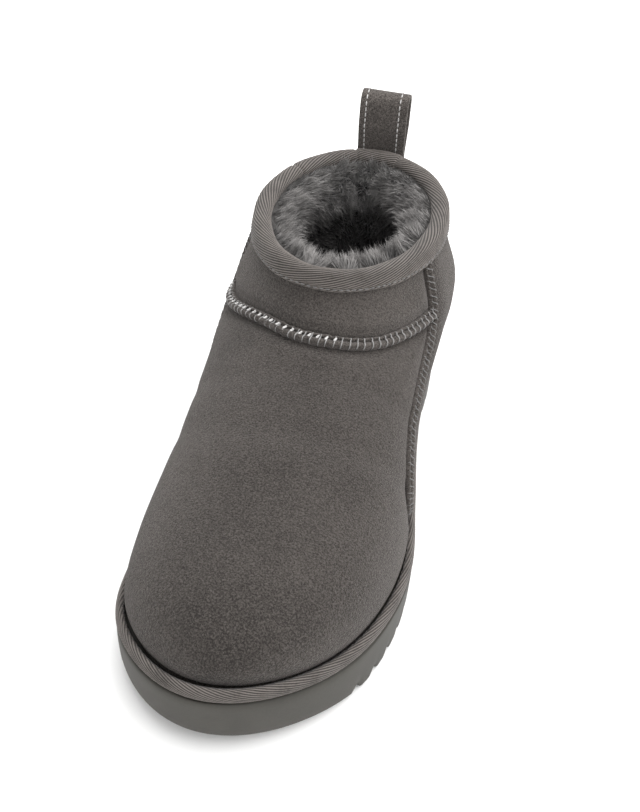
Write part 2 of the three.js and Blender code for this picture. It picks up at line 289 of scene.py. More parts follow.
def grid_mesh(name, columns, rows, lay, shut=False, size=None):
    """A flat grid laid by lay(a, b), where a and b run from 0 to 1 and lay gives points in mm.
    size is its flat size in mm, measured along its middle lines where it isn't given."""
    bm = bmesh.new()
    bmesh.ops.create_grid(bm, x_segments=columns, y_segments=rows, size=0.5)
    mesh = bpy.data.meshes.new(name)
    bm.to_mesh(mesh)
    bm.free()
    spots = np.empty(len(mesh.vertices) * 3)
    mesh.vertices.foreach_get("co", spots)
    a, b = (spots.reshape(-1, 3)[:, :2] + 0.5).T.clip(0, 1)
    points = lay(a, b)
    mesh.vertices.foreach_set("co", (points * MM).ravel())

    middle = np.linspace(0, 1, 200)
    half = np.full(200, 0.5)
    wide = np.linalg.norm(np.diff(lay(middle, half), axis=0), axis=1).sum()
    high = np.linalg.norm(np.diff(lay(half, middle), axis=0), axis=1).sum()
    wide, high = size or (wide, high)
    corner = np.empty(len(mesh.loops), int)
    mesh.loops.foreach_get("vertex_index", corner)
    flat_map = np.stack([a[corner] * wide, b[corner] * high], -1) * MM
    mesh.uv_layers.new(name="cut").data.foreach_set("uv", flat_map.ravel())
    if shut:
        bm = bmesh.new()
        bm.from_mesh(mesh)
        bmesh.ops.remove_doubles(bm, verts=bm.verts, dist=2e-6)
        bmesh.ops.dissolve_degenerate(bm, dist=1e-7, edges=bm.edges)
        bm.to_mesh(mesh)
        bm.free()
    mesh.update()
    return mesh


def thickness(piece, mm, offset=-1.0):
    wall = piece.modifiers.new("wall", "SOLIDIFY")
    wall.thickness, wall.offset = mm * MM, offset
    print(piece.name, "gets a wall of", mm, "mm")


# %% Repeat a small shape
def shape_arrays(bm):
    bmesh.ops.triangulate(bm, faces=bm.faces)
    bm.verts.ensure_lookup_table()
    points = np.array([v.co[:] for v in bm.verts])
    corners = np.array([[v.index for v in f.verts] for f in bm.faces])
    bm.free()
    return points, corners


def joined(name, points, corners, uv=None):
    """A mesh from points (mm) and triangles, for many small things at once."""
    mesh = bpy.data.meshes.new(name)
    mesh.vertices.add(len(points))
    mesh.vertices.foreach_set("co", (points * MM).ravel())
    mesh.loops.add(corners.size)
    mesh.loops.foreach_set("vertex_index", corners.ravel())
    mesh.polygons.add(len(corners))
    mesh.polygons.foreach_set("loop_start", np.arange(len(corners)) * 3)
    mesh.polygons.foreach_set("loop_total", np.full(len(corners), 3))
    if uv is not None:
        mesh.uv_layers.new(name="cut").data.foreach_set("uv", uv[corners.ravel()].ravel())
    mesh.update(calc_edges=True)
    mesh.validate()
    return mesh


def repeated(name, shape, origins, x_axes, y_axes, z_axes):
    """Joins a copy of the shape at each origin, its x, y and z scaled and turned by the axes.
    A copy that its axes mirror has its faces turned round, so that they still point outwards."""
    points, corners = shape
    axes = np.stack([x_axes, y_axes, z_axes], 1)
    every = origins[:, None] + np.einsum("pk,nkc->npc", points, axes)
    mirrored = (np.linalg.det(axes) < 0)[:, None, None]
    step = np.arange(len(origins))[:, None, None] * len(points)
    faces = np.where(mirrored, corners[None, :, ::-1], corners[None]) + step
    return joined(name, every.reshape(-1, 3), faces.reshape(-1, 3))


def heading(path, s):
    """The direction along a seam at a share s of its path."""
    step = 1e-3
    return unit(laid(*path(np.clip(s + step, 0, 1))) - laid(*path(np.clip(s - step, 0, 1))))


def along_seam(path, spacing):
    """Evenly spaced places on a seam: point, direction along it, outward and sideways."""
    s = np.linspace(0, 1, 1200)
    v, turn = path(s)
    points = laid(v, turn)
    run = np.r_[0, np.cumsum(np.linalg.norm(np.diff(points, axis=0), axis=1))]
    count = int(run[-1] / spacing)
    even = np.interp((np.arange(count) + 0.5) * run[-1] / count, run, s)
    v, turn = path(even)
    here, out, along = laid(v, turn), outward(v, turn), heading(path, even)
    side = unit(np.cross(out, along))
    print(count, "places", round(run[-1] / count, 2), "mm apart")
    return here, along, out, side


# %% [markdown]
# ## Finishes
# Suede is the flesh side of the skin, buffed to a short nap. It scatters light like cloth,
# so it gets sheen, a cloudy colour where the nap lies this way or that, and a fine grain.
# The patterns read the object's own coordinates, in metres, so they stay at their real size.

# %% Node helpers
def start_material(name, roughness, colour, specular=0.5, sheen=0.0, sheen_roughness=0.5):
    material = bpy.data.materials.new(name)
    material.use_nodes = True
    tree = material.node_tree
    shader = tree.nodes["Principled BSDF"]
    values = {"Roughness": roughness, "Base Color": (*colour, 1), "Specular IOR Level": specular,
              "Sheen Weight": sheen, "Sheen Roughness": sheen_roughness}
    for socket, value in values.items():
        shader.inputs[socket].default_value = value
    return material, tree, shader


def grey(level, warmth=0.095):
    """A neutral grey of this linear brightness, a little warm."""
    return (level * (1 + 1.3 * warmth), level, level * (1 - 0.85 * warmth))


def own_place(tree):
    """Where a point is on the piece, in metres, so that a pattern keeps its real size."""
    return tree.nodes.new("ShaderNodeTexCoord").outputs["Object"]


def cut_map(tree):
    """The piece's map when it lay flat: the map itself, its x and its y."""
    uv = tree.nodes.new("ShaderNodeUVMap")
    uv.uv_map = "cut"
    split = tree.nodes.new("ShaderNodeSeparateXYZ")
    tree.links.new(uv.outputs["UV"], split.inputs[0])
    return uv.outputs["UV"], split.outputs["X"], split.outputs["Y"]


def noise(tree, source, grain_mm, detail=3.0, rough=0.55):
    node = tree.nodes.new("ShaderNodeTexNoise")
    node.inputs["Scale"].default_value = 1 / (grain_mm * MM)
    node.inputs["Detail"].default_value = detail
    node.inputs["Roughness"].default_value = rough
    tree.links.new(source, node.inputs["Vector"])
    return node.outputs["Fac"]


def ramp(tree, source, *stops):
    node = tree.nodes.new("ShaderNodeValToRGB")
    elements = node.color_ramp.elements
    while len(elements) < len(stops):
        elements.new(0.5)
    for element, (position, colour) in zip(elements, stops):
        element.position, element.color = position, (*colour, 1)
    tree.links.new(source, node.inputs["Fac"])
    return node.outputs["Color"]


def paint(tree, shader, source, *stops):
    tree.links.new(ramp(tree, source, *stops), shader.inputs["Base Color"])


def maths(tree, operation, first, second):
    node = tree.nodes.new("ShaderNodeMath")
    node.operation = operation
    for socket, value in zip(node.inputs, (first, second)):
        if isinstance(value, (int, float)):
            socket.default_value = value
        else:
            tree.links.new(value, socket)
    return node.outputs["Value"]


def weighted(tree, *parts):
    """The sum of several sockets, each times its own weight."""
    shares = [maths(tree, "MULTIPLY", socket, weight) for socket, weight in parts]
    total = shares[0]
    for share in shares[1:]:
        total = maths(tree, "ADD", total, share)
    return total


def mixed(tree, kind, amount, first, second):
    node = tree.nodes.new("ShaderNodeMix")
    node.data_type, node.blend_type = "RGBA", kind
    sockets = [s for s in node.inputs if s.enabled]
    for socket, value in zip(sockets, (amount, first, second)):
        if isinstance(value, (int, float)):
            socket.default_value = value
        elif isinstance(value, tuple):
            socket.default_value = (*value, 1)
        else:
            tree.links.new(value, socket)
    return [s for s in node.outputs if s.enabled][0]


def bump(tree, shader, height, deep_mm, strength=1.0):
    node = tree.nodes.new("ShaderNodeBump")
    node.inputs["Strength"].default_value = strength
    node.inputs["Distance"].default_value = deep_mm * MM
    tree.links.new(height, node.inputs["Height"])
    tree.links.new(node.outputs["Normal"], shader.inputs["Normal"])


print("a middle grey of this boot", [round(c, 3) for c in grey(0.05)])

# %% Suede
# Patches painted lighter or darker: a painted highlight on the band's outer side, and painted
# shade at the toe and on the inner side. reach is in mm.
PAINTED_PATCHES = table(
    "turn v reach tone",
    (150, 0.87, 36, 0.06), (214, 0.83, 30, -0.03), (183, 0.24, 52, -0.045), (236, 0.6, 28, -0.04))


def add_painted_light_and_shade(tree, where, tone):
    for turn, v, reach, painted_shift in rows_of(PAINTED_PATCHES):
        away = tree.nodes.new("ShaderNodeVectorMath")
        away.operation = "DISTANCE"
        tree.links.new(where, away.inputs[0])
        away.inputs[1].default_value = skin(v, math.radians(turn)) * MM
        fade = tree.nodes.new("ShaderNodeMapRange")
        fade.interpolation_type = "SMOOTHSTEP"
        fade.inputs["From Max"].default_value = reach * MM
        fade.inputs["To Min"].default_value = painted_shift
        fade.inputs["To Max"].default_value = 0
        tree.links.new(away.outputs["Value"], fade.inputs["Value"])
        tone = maths(tree, "ADD", tone, fade.outputs["Result"])
    return tone


def suede_material(name, level, sheen=0.22):
    material, tree, shader = start_material(name, 0.95, grey(level), 0.1, sheen, 0.4)
    where = own_place(tree)
    cloud = noise(tree, where, 30, 2)
    brush = noise(tree, where, 4.5, 3, 0.6)
    nap = noise(tree, where, 0.65, 3, 0.7)
    tone = weighted(tree, (cloud, 0.12), (brush, 0.04), (nap, 0.84))
    # Painted highlight and painted shade, patch by patch, added to the suede's tone.
    tone = add_painted_light_and_shade(tree, where, tone)
    paint(tree, shader, tone, (0.37, grey(level * 0.42)), (0.5, grey(level)),
          (0.63, grey(level * 1.75)))
    shader.inputs["Sheen Tint"].default_value = (0.92, 0.87, 0.84, 1)
    bump(tree, shader, weighted(tree, (brush, 0.5), (nap, 1.0)), 1.0, 0.9)
    return material


suede = suede_material("suede", 0.05)
suede_edge = suede_material("suede edge", 0.06, 0.2)
# The pull loop's suede is painted lighter than the panels' suede, as painted light on a strip that the
# key lamp leaves in shade.
painted_lit_loop_suede = suede_material("loop suede painted lighter", 0.074)
print("suede finishes", [finish.name for finish in (suede, suede_edge, painted_lit_loop_suede)])

# %% [markdown]
# Twill tape shows slanting ribs, because each weft thread passes over two warp threads and
# moves on by one in each row. The ribs are in the mesh of the tapes themselves; the material
# paints their tops lighter and the valleys between them darker, as painted light and shade,
# and adds the single yarns.

# %% Tape
RIB, RIB_RUN = 1.15, 4.4  # mm from one rib to the next, across the tape and along it
YARN = (900, 2600, 1)  # specks per metre, longer along the tape than across it


def tape_material(name, level):
    material, tree, shader = start_material(name, 0.8, grey(level), 0.2, 0.15)
    cut, along, across = cut_map(tree)
    phase = weighted(tree, (along, 1 / (RIB_RUN * MM)), (across, 1 / (RIB * MM)))
    rib_height_and_shade = maths(tree, "SINE", maths(tree, "MULTIPLY", phase, 2 * math.pi), 0)
    yarn = tree.nodes.new("ShaderNodeMapping")
    yarn.inputs["Scale"].default_value = YARN
    tree.links.new(cut, yarn.inputs["Vector"])
    fibre = tree.nodes.new("ShaderNodeTexNoise")
    fibre.inputs["Scale"].default_value = 1
    fibre.inputs["Detail"].default_value = 3
    tree.links.new(yarn.outputs["Vector"], fibre.inputs["Vector"])
    fibre = fibre.outputs["Fac"]
    where = own_place(tree)
    cloud = noise(tree, where, 7, 3)
    rib_height_and_shade = maths(tree, "MULTIPLY", rib_height_and_shade, cloud)
    # The ribs' sine is painted into the colour too: lighter rib tops and darker valleys, painted light
    # and shade.
    tone = weighted(tree, (rib_height_and_shade, 0.42), (fibre, 0.36), (cloud, 0.3))
    tone = maths(tree, "ADD", tone, 0.16)
    paint(tree, shader, tone, (0.34, grey(level * 0.35)), (0.5, grey(level)),
          (0.66, grey(level * 1.75)))
    height = weighted(tree, (rib_height_and_shade, 0.4), (fibre, 1.0))
    bump(tree, shader, height, 0.25, 0.5)
    return material


tape = tape_material("twill tape", 0.076)
sole_twill = tape_material("sole twill tape", 0.08)
print("twill finishes", tape.name, "and", sole_twill.name)

# %% [markdown]
# The fleece has two kinds of mesh, a soft bed and thousands of thin tufts, and each kind has its own
# materials.
# Up a tuft's UV map is from its root to its tip, so the roots are painted dark and the tips light,
# as painted shade where light can't reach down into real wool. Across it is how near the collar
# the tuft stands, so that tufts further down the boot are painted darker all over, as painted
# shade deep inside the boot.

# %% Fleece
WOOL_WARMTH = 0.03  # wool is a cooler grey than the suede


def fleece_material(name, root, tip):
    material, tree, shader = start_material(name, 0.9, grey(tip), 0.15, 0.3, 0.4)
    _, near_collar, up_tuft = cut_map(tree)
    # Painted shade: roots darker than tips, tufts further down the boot darker all over, and darker
    # patches from the noise of the locks.
    lock = noise(tree, own_place(tree), 8, 3, 0.6)
    deep = ramp(tree, near_collar, (0.0, (0.35, 0.35, 0.35)), (0.6, (1, 1, 1)))
    rise = ramp(tree, up_tuft, (0.0, grey(root, WOOL_WARMTH)),
                (0.55, grey((root + tip) / 2, WOOL_WARMTH)), (1.0, grey(tip, WOOL_WARMTH)))
    shade = ramp(tree, lock, (0.38, (0.52, 0.52, 0.52)), (0.6, (1.14, 1.14, 1.14)))
    lit = mixed(tree, "MULTIPLY", 1.0, rise, deep)
    tree.links.new(mixed(tree, "MULTIPLY", 1.0, lit, shade), shader.inputs["Base Color"])
    return material


def bed_material(name, level):
    material, tree, shader = start_material(name, 0.95, grey(level, WOOL_WARMTH), 0.1)
    where = own_place(tree)
    lock = noise(tree, where, 6, 4, 0.7)
    paint(tree, shader, lock, (0.3, grey(level * 0.5, WOOL_WARMTH)),
          (0.7, grey(level * 1.25, WOOL_WARMTH)))
    bump(tree, shader, noise(tree, where, 1.4, 4, 0.7), 1.2, 0.8)
    return material


wool = fleece_material("wool tufts", 0.15, 0.3)
# A darker copy of the wool: painted shade for the tufts deep in the walls and on the footbed.
painted_dark_deep_wool = fleece_material("deep wool painted darker", 0.04, 0.115)
# The felted wool under the tufts is painted dark, as painted shade among the tufts.
painted_dark_wool_bed = bed_material("wool bed painted dark", 0.07)
print("wool finishes", [finish.name for finish in (wool, painted_dark_deep_wool, painted_dark_wool_bed)])

# %% [markdown]
# The sole is a light foam moulded in a steel mould. Its skin is matt, smooth and faintly
# mottled, and a little greener than the suede.

# %% Foam and thread
def foam_material(name, level):
    material, tree, shader = start_material(name, 0.62, grey(level), 0.35)
    where = own_place(tree)
    cloud = noise(tree, where, 18, 3)
    speck = noise(tree, where, 0.9, 3, 0.7)
    tone = weighted(tree, (cloud, 0.6), (speck, 0.4))
    dark, plain, light = [(level * k * 1.07, level * k, level * k * 0.85) for k in (0.8, 1, 1.18)]
    paint(tree, shader, tone, (0.3, dark), (0.5, plain), (0.7, light))
    bump(tree, shader, speck, 0.12, 0.35)
    return material


def thread_material(name, level):
    material, tree, shader = start_material(name, 0.6, grey(level, 0.02), sheen=0.2)
    twist = noise(tree, own_place(tree), 1.2, 3, 0.7)
    paint(tree, shader, twist, (0.3, grey(level * 0.55, 0.02)), (0.65, grey(level * 1.1, 0.02)))
    return material


foam = foam_material("moulded foam", 0.0425)
pale_thread = thread_material("pale thread", 0.62)
grey_thread = thread_material("grey thread", 0.16)
suede_thread = thread_material("worn thread", 0.28)
tape_thread = thread_material("tape thread", 0.13)
loop_thread = thread_material("loop thread", 0.5)
threads = (pale_thread, grey_thread, suede_thread, tape_thread, loop_thread)
print(foam.name, "and", [thread.name for thread in threads])

# %% [markdown]
# ## The suede panels
# Three panels make the upper: the vamp over the foot, a band across the front of the ankle,
# and one quarter that goes round the heel from side seam to side seam. Each is a flat grid
# between its seams. Near a seam the suede sinks, and beyond that it swells over the fleece.

# %% Lay the panels
SUEDE = 1.6  # thickness of the skin
SINK, SINK_WIDTH = 2.0, 3.8  # how deep the suede sinks into a seam, and how far from it
PUFF, PUFF_AWAY, PUFF_WIDTH = 0.6, 9, 5  # beyond that it puffs up over the fleece
SOLE_TUCK = 2.6  # how far it is drawn in above the sole tape
TUCK_V, TUCK_WIDTH = 0.04, 0.035  # where that is, and how wide, up the last
BAND_SWELL, SWELL_AWAY, SWELL_WIDTH = 0.9, 8, 5.5  # the front band swells above the vamp seam
CREASE, CREASE_AWAY, CREASE_WIDTH = 0.45, 4.6, 0.9  # and has a fine crease below the swelling
UNDER_TAPE = 0.985  # the panels end under the collar tape
VAMP_SINK = 1.35  # the vamp sinks more than the band on the other side of their seam
UP_MM, ROUND_MM = 110, 50  # about what v = 1 and one radian of turn are on the boot, in mm


def bell(x, middle, width):
    return np.exp(-((x - middle) / width) ** 2)


def seam_sink(distance_mm):
    return -SINK * bell(distance_mm, 0, SINK_WIDTH) + PUFF * bell(distance_mm, PUFF_AWAY, PUFF_WIDTH)


def panel_lay(low, high, left, right, to_vamp_seam=True):
    """low and high give v for a turn, left and right give turn for a v."""
    def lay(a, b):
        v = 0.02 + 0.96 * b
        for _ in range(4):
            turn = left(v) + (right(v) - left(v)) * a
            v = low(turn) + (high(turn) - low(turn)) * b
        sides = np.minimum(abs(turn - left(v)), abs(turn - right(v))) * ROUND_MM
        lift = seam_sink(sides) - SOLE_TUCK * bell(v, TUCK_V, TUCK_WIDTH)
        if to_vamp_seam:
            above = (v - seam_v(turn)) * UP_MM
            swell = BAND_SWELL * bell(above, SWELL_AWAY, SWELL_WIDTH)
            swell = swell - CREASE * bell(above, CREASE_AWAY, CREASE_WIDTH)
            sunk = seam_sink(abs(above)) * np.where(above < 0, VAMP_SINK, 1)
            lift = np.minimum(lift, sunk) + swell * (1 - bell(sides, 0, 7))
        return laid(v, turn, lift)
    return lay


def flat(value):
    return lambda turn: np.full(np.shape(turn), value)


PANELS = {
    "vamp": (160, 92, panel_lay(flat(0.0), seam_v, inner_side, side_turn)),
    "front_band": (150, 36, panel_lay(seam_v, flat(UNDER_TAPE), inner_side, side_turn)),
    "quarter": (150, 84, panel_lay(flat(0.0), flat(UNDER_TAPE), outer_side_and_round, inner_side,
                                   to_vamp_seam=False)),
}
for name, (columns, rows, lay) in PANELS.items():
    panel = finish_piece(grid_mesh(name, columns, rows, lay), suede, "suede", "upper")
    thickness(panel, SUEDE)

# %% [markdown]
# ## Seams that stand proud
# The panels are sewn with their edges turned outwards, and an overlock stitch wraps the two
# edges, which leaves a ridge. The ridge is a grid with a domed section, swept along the seam.
# The thread is a small half ring, spun once and repeated across the ridge.

# %% Ridges
RIDGE = table(
    "b across up",
    (0, 2.9, -1.7), (0.1, 2.8, 0.0), (0.2, 2.1, 0.85), (0.28, 1.5, 0.55), (0.34, 1.1, -0.2),
    (0.4, 0.7, 0.35), (0.5, 0.0, 1.7), (0.6, -0.9, 2.2), (0.7, -1.9, 1.6), (0.78, -2.5, 0.4),
    (0.88, -2.8, -1.7), (0.94, 0, -2.0), (1, 2.9, -1.7))


def ridge_mesh(name, path, scale):
    """A ridge along the path. It wavers a little, as a seam guided by hand does, and its ends
    taper into the suede."""
    def lay(a, b):
        v, turn = path(a)
        here, out = laid(v, turn, -0.2), outward(v, turn)
        side = unit(np.cross(out, heading(path, a)))
        waver = 0.14 * np.sin(a * 190) + 0.1 * np.sin(a * 117 + 1)
        end = np.sqrt(np.clip(np.minimum(a, 1 - a) * 60, 0, 1)) * scale
        across = through(RIDGE, "b", "across", 1 - b) + waver
        up = through(RIDGE, "b", "up", 1 - b) * (1 + 0.05 * np.sin(a * 260))
        return here + side * (across * end)[..., None] + out * (up * end)[..., None]
    return grid_mesh(name, 420, 26, lay, shut=True)


def vamp_path(s):
    last = side_turn(SEAM_OUTER)
    turn = INNER_SIDE - (INNER_SIDE - last) * s
    return seam_v(turn), turn


RIDGE_FOOT, RIDGE_TOP = 0.03, 0.975  # the v of a side seam's ends, under the two tapes


def outer_side_path(s):
    v = RIDGE_FOOT + (RIDGE_TOP - RIDGE_FOOT) * s
    return v, side_turn(v)


def inner_side_path(s):
    v = RIDGE_TOP + (RIDGE_FOOT - RIDGE_TOP) * s
    return v, inner_side(v)


SEAMS = {"vamp_seam": vamp_path, "outer_side_seam": outer_side_path,
         "inner_side_seam": inner_side_path}
SCALE = {"vamp_seam": 0.88, "outer_side_seam": 0.76, "inner_side_seam": 0.76}
for name, path in SEAMS.items():
    finish_piece(ridge_mesh(name, path, SCALE[name]), suede_edge, "suede")

# %% Thread over the ridges
OVER = table(
    "s across up",
    (0, 2.7, -0.4), (0.12, 2.4, 0.8), (0.25, 1.8, 1.15), (0.4, 1.0, 0.95), (0.55, 0.2, 1.75),
    (0.7, -0.8, 2.35), (0.85, -2.0, 1.75), (0.94, -2.6, 0.6), (1, -2.8, -0.5))


def stitch_shape(thread, slant, start=0.0, stop=1.0):
    """A tube of thread that follows OVER, in mm: x across the ridge, y along it, z up."""
    def lay(a, b):
        reach = start + (stop - start) * a
        before, after = np.maximum(reach - 0.01, 0), np.minimum(reach + 0.01, 1)
        ahead = unit(np.stack([through(OVER, "s", c, after) - through(OVER, "s", c, before)
                               for c in ("across", "up")], -1))
        angle = 2 * np.pi * b
        size = thread * (0.35 + 0.65 * np.sin(np.pi * a) ** 0.5)
        across, up = through(OVER, "s", "across", reach), through(OVER, "s", "up", reach)
        x = across + size * np.cos(angle) * ahead[..., 1]
        z = up - size * np.cos(angle) * ahead[..., 0]
        return np.stack([x, slant * across + size * np.sin(angle), z], -1)
    mesh = grid_mesh("stitch", 12, 6, lay, shut=True)
    bm = bmesh.new()
    bm.from_mesh(mesh)
    bpy.data.meshes.remove(mesh)
    bmesh.ops.scale(bm, vec=(1 / MM, 1 / MM, 1 / MM), verts=bm.verts)
    bmesh.ops.holes_fill(bm, edges=[e for e in bm.edges if e.is_boundary], sides=8)
    bmesh.ops.recalc_face_normals(bm, faces=bm.faces)
    return shape_arrays(bm)


def grain(bend=0.0):
    """A stitch lying flat, one unit long, thin, its ends dipping into the leather."""
    bm = bmesh.new()
    bmesh.ops.create_uvsphere(bm, u_segments=8, v_segments=6, radius=0.5,
                              matrix=Matrix.Rotation(math.pi / 2, 4, "Y"))
    for vert in bm.verts:
        vert.co.z -= 1.4 * vert.co.x ** 2 * bend
    return shape_arrays(bm)


random = np.random.default_rng(7)


def wrap_ridge(name, path, spacing, thread, material, deep, scale, slant=0.4, start=0.0, stop=1.0):
    """Threads across a ridge. deep is how far each is drawn in, by its share of the seam."""
    here, along, out, side = along_seam(path, spacing)
    share = np.linspace(0, 1, len(here))
    drawn = deep(share) + random.uniform(-0.1, 0.1, len(here))
    here = here + along * random.uniform(-0.25, 0.25, len(here))[:, None] - out * drawn[:, None]
    mesh = repeated(name, stitch_shape(thread, slant, start, stop), here,
                    side * scale, along, out * scale)
    finish_piece(mesh, material, "thread")


def pulled_tight(share):
    """The vamp's wrapping thread is drawn into the suede along the middle of the seam."""
    return 0.15 + 0.4 * bell(share, 0.42, 0.2)


def evenly(depth):
    return lambda share: np.full_like(share, depth)


def bright_part(s):
    """The stretch of the vamp seam, from the inner side, where its pale loops show."""
    return vamp_path(0.64 * s)


wrap_ridge("vamp_seam_thread", vamp_path, 3.0, 0.27, suede_thread, pulled_tight,
           SCALE["vamp_seam"], 0.15)
wrap_ridge("vamp_seam_loops", bright_part, 3.6, 0.62, pale_thread, evenly(0.12),
           SCALE["vamp_seam"], 0.5, 0.24, 0.54)
for name in ("outer_side_seam", "inner_side_seam"):
    wrap_ridge(name + "_thread", SEAMS[name], 2.9, 0.26, grey_thread, evenly(0.3), SCALE[name])

# %% [markdown]
# ## Woven tapes
# One tape is folded over the collar's edge and sewn through. The other is wrapped round a
# filler cord and covers the seam between upper and sole. Both are grids fine enough to carry
# the twill's ribs as real relief.

# %% Collar tape
TAPE_DROP = 0.068  # how far down the last the tape reaches outside
INSIDE_DROP = 0.05  # and inside
RIM_WALL = 4.6  # leather and pressed fleece under the tape
PROUD, PRESSED = 1.75, 0.4  # how proud the tape stands, and how much less it does inside
CREST = 2.6  # how high it arches over the edge
OUTSIDE, OVER_CREST = 0.33, 0.77  # shares of the tape's width where it turns over the edge
STITCH_LINE = 0.075  # share of its width where it is sewn, which draws it in
COLLAR_ACROSS, SOLE_ACROSS = 23.3, 12.0  # the tapes' widths, laid flat
COLLAR_FACE, SOLE_FACE = 0.88, 0.85  # share of each grid that is the tape's face, not its back
COLLAR_RELIEF, SOLE_RELIEF = 0.18, 0.17  # height of the ribs
BEHIND = 0.9  # how far a tape's back lies behind its face
HEEL_PATCH = 0.29  # the tape swells over the pull loop's tails, this far each side of the heel
TAPE_JOIN = -1.05  # and its two ends meet here, on the inner side
PATCH_PROUD, PATCH_GROOVE, JOIN_GROOVE = 0.45, 0.4, 0.75  # the swelling, its edges, the join
UNEVEN, EDGE_DROP, STITCH_DROP = 0.22, 0.6, 0.35  # its height wanders, and drops at edge and stitch
COLLAR_RIBS = round(340 / RIB_RUN)  # whole ribs, so that the pattern meets itself
SOLE_RIBS = round(640 / RIB_RUN)


def ribs(turns, across_mm):
    """The height of the twill, between -1 and 1."""
    return np.sin((turns + across_mm / RIB) * 2 * np.pi)


def round_trip(b, face):
    """The face of a tape, then its back: share across the tape, and how far behind it is."""
    share = np.where(b < face, b / face, (1 - b) / (1 - face))
    behind = np.where(b < face, 0, np.sqrt(abs(np.sin(np.pi * (1 - b) / (1 - face)))))
    return share, behind


def collar_fold(a, b):
    """Round the collar by a, and by b from the outside edge over the crest to the inside."""
    turn = 2 * np.pi * (1 - a)
    top = np.ones_like(turn)
    out_v = 1 - TAPE_DROP * np.clip(1 - b / OUTSIDE, 0, 1)
    in_v = 1 - INSIDE_DROP * np.clip((b - OVER_CREST) / (1 - OVER_CREST), 0, 1)
    outer = skin(out_v, turn) + outward(out_v, turn) * PROUD
    inner = skin(in_v, turn) - outward(in_v, turn) * (RIM_WALL + PROUD - PRESSED)
    over = np.clip((b - OUTSIDE) / (OVER_CREST - OUTSIDE), 0, 1)
    left = skin(top, turn) + outward(top, turn) * PROUD
    right = skin(top, turn) - outward(top, turn) * (RIM_WALL + PROUD - PRESSED)
    angle = np.pi * over
    crest = (left + right) / 2 + (left - right) / 2 * np.cos(angle)[..., None]
    crest[..., 2] += CREST * np.sin(angle)
    point = np.where((b < OUTSIDE)[..., None], outer, crest)
    point = np.where((b > OVER_CREST)[..., None], inner, point)
    return point, turn


def collar_lay(a, b):
    share, back = round_trip(b, COLLAR_FACE)
    point, turn = collar_fold(a, share)
    core = skin(np.ones_like(turn), turn) - outward(np.ones_like(turn), turn) * (RIM_WALL / 2)
    core[..., 2] -= 1.5
    away = unit(point - core)
    from_back = np.remainder(turn + np.pi, 2 * np.pi) - np.pi
    patch = PATCH_PROUD * smoothstep(HEEL_PATCH, HEEL_PATCH - 0.025, abs(from_back))
    patch = patch - PATCH_GROOVE * bell(abs(from_back), HEEL_PATCH, 0.017)
    patch = patch - JOIN_GROOVE * bell(from_back, TAPE_JOIN, 0.018)
    patch = patch + UNEVEN * np.sin(7 * turn + 1) * np.sin(4 * turn + 0.5)
    rim = np.minimum(share, 1 - share)
    lift = patch - EDGE_DROP * bell(rim, 0, 0.03) - BEHIND * back
    lift = lift - STITCH_DROP * bell(share, STITCH_LINE, 0.025)
    twill = COLLAR_RELIEF * ribs(COLLAR_RIBS * a, -share * COLLAR_ACROSS)
    lift = lift + twill * smoothstep(0, 0.03, rim) * (back == 0)
    return point + away * lift[..., None]


finish_piece(
    grid_mesh("collar_tape_weave", 620, 128, collar_lay, True,
              (COLLAR_RIBS * RIB_RUN, -COLLAR_ACROSS / COLLAR_FACE)),
    tape, "tape", "collar_tape")

# %% Sole tape
FACE = table("b inset up", (0, 3.2, 0.1), (0.14, 1.6, 0.5), (0.3, 0.4, 1.9), (0.5, 0.1, 3.9),
             (0.7, 0.6, 5.7), (0.86, 1.7, 6.8), (1, 3.4, 6.2))


def sole_tape_lay(a, b):
    turn = 2 * np.pi * (1 - a)
    share, back = round_trip(b, SOLE_FACE)
    inset, up = through(FACE, "b", "inset", share), through(FACE, "b", "up", share)
    rim = np.minimum(share, 1 - share)
    twill = SOLE_RELIEF * ribs(SOLE_RIBS * a, share * SOLE_ACROSS)
    lift = twill * smoothstep(0, 0.06, rim) * (back == 0) - BEHIND * back
    along, across = outline_at(turn, inset - lift)
    return place(along, across, rim_z(along) + up + 0.3 * lift)


finish_piece(
    grid_mesh("sole_tape_weave", 1100, 46, sole_tape_lay, True,
              (SOLE_RIBS * RIB_RUN, SOLE_ACROSS / SOLE_FACE)),
    sole_twill, "tape", "sole_tape")

# %% Stitches in the tapes
def collar_stitch_path(s):
    return np.full(np.shape(s), 1 - TAPE_DROP * (1 - STITCH_LINE / OUTSIDE)), 2 * np.pi * s


here, along, out, side = along_seam(collar_stitch_path, 2.5)
mesh = repeated("collar_tape_stitches", grain(0.8), here + out * 1.72, along * 1.75, side * 0.55,
                out * 0.7)
finish_piece(mesh, tape_thread, "thread")

# %% [markdown]
# ## The sole
# A sole could be cut from a block with the outline as its edge. The tread, though, must show
# on the edge as notches, so this one is a lengthwise loft: at each place along the foot the
# grid goes once round the sole's section, under, up one side, across and down the other.

# %% Sole
GROOVE_WIDTH, GROOVE_DEPTH, GROOVE_PITCH = 3.0, 2.8, 10.0
GROOVE_WAVE, WAVE_STEP = 2.4, 11.0
GROOVES = [20 + GROOVE_PITCH * i for i in range(5)] + [88 + GROOVE_PITCH * i for i in range(15)]
WALL = table("s inset share", (0, 3.4, 0), (0.1, 2.0, 0.04), (0.3, 0.9, 0.17), (0.5, 0.25, 0.4),
             (0.7, 0, 0.7), (0.9, 0.1, 0.94), (1, 0.7, 1))
UNDER, SIDE, TOP = 52, 15, 8  # cells round the section
TOE_SPRING, HEEL_BEVEL, ARCH_RISE = 6, 2, 2  # how far the tread lifts off the floor there


def bottom_z(along):
    toe = TOE_SPRING * np.maximum(0, (along - 205) / (LENGTH - 205)) ** 2
    heel = HEEL_BEVEL * (1 - smoothstep(0, 22, along))
    arch = ARCH_RISE * smoothstep(92, 106, along) * (1 - smoothstep(128, 142, along))
    return toe + heel + arch


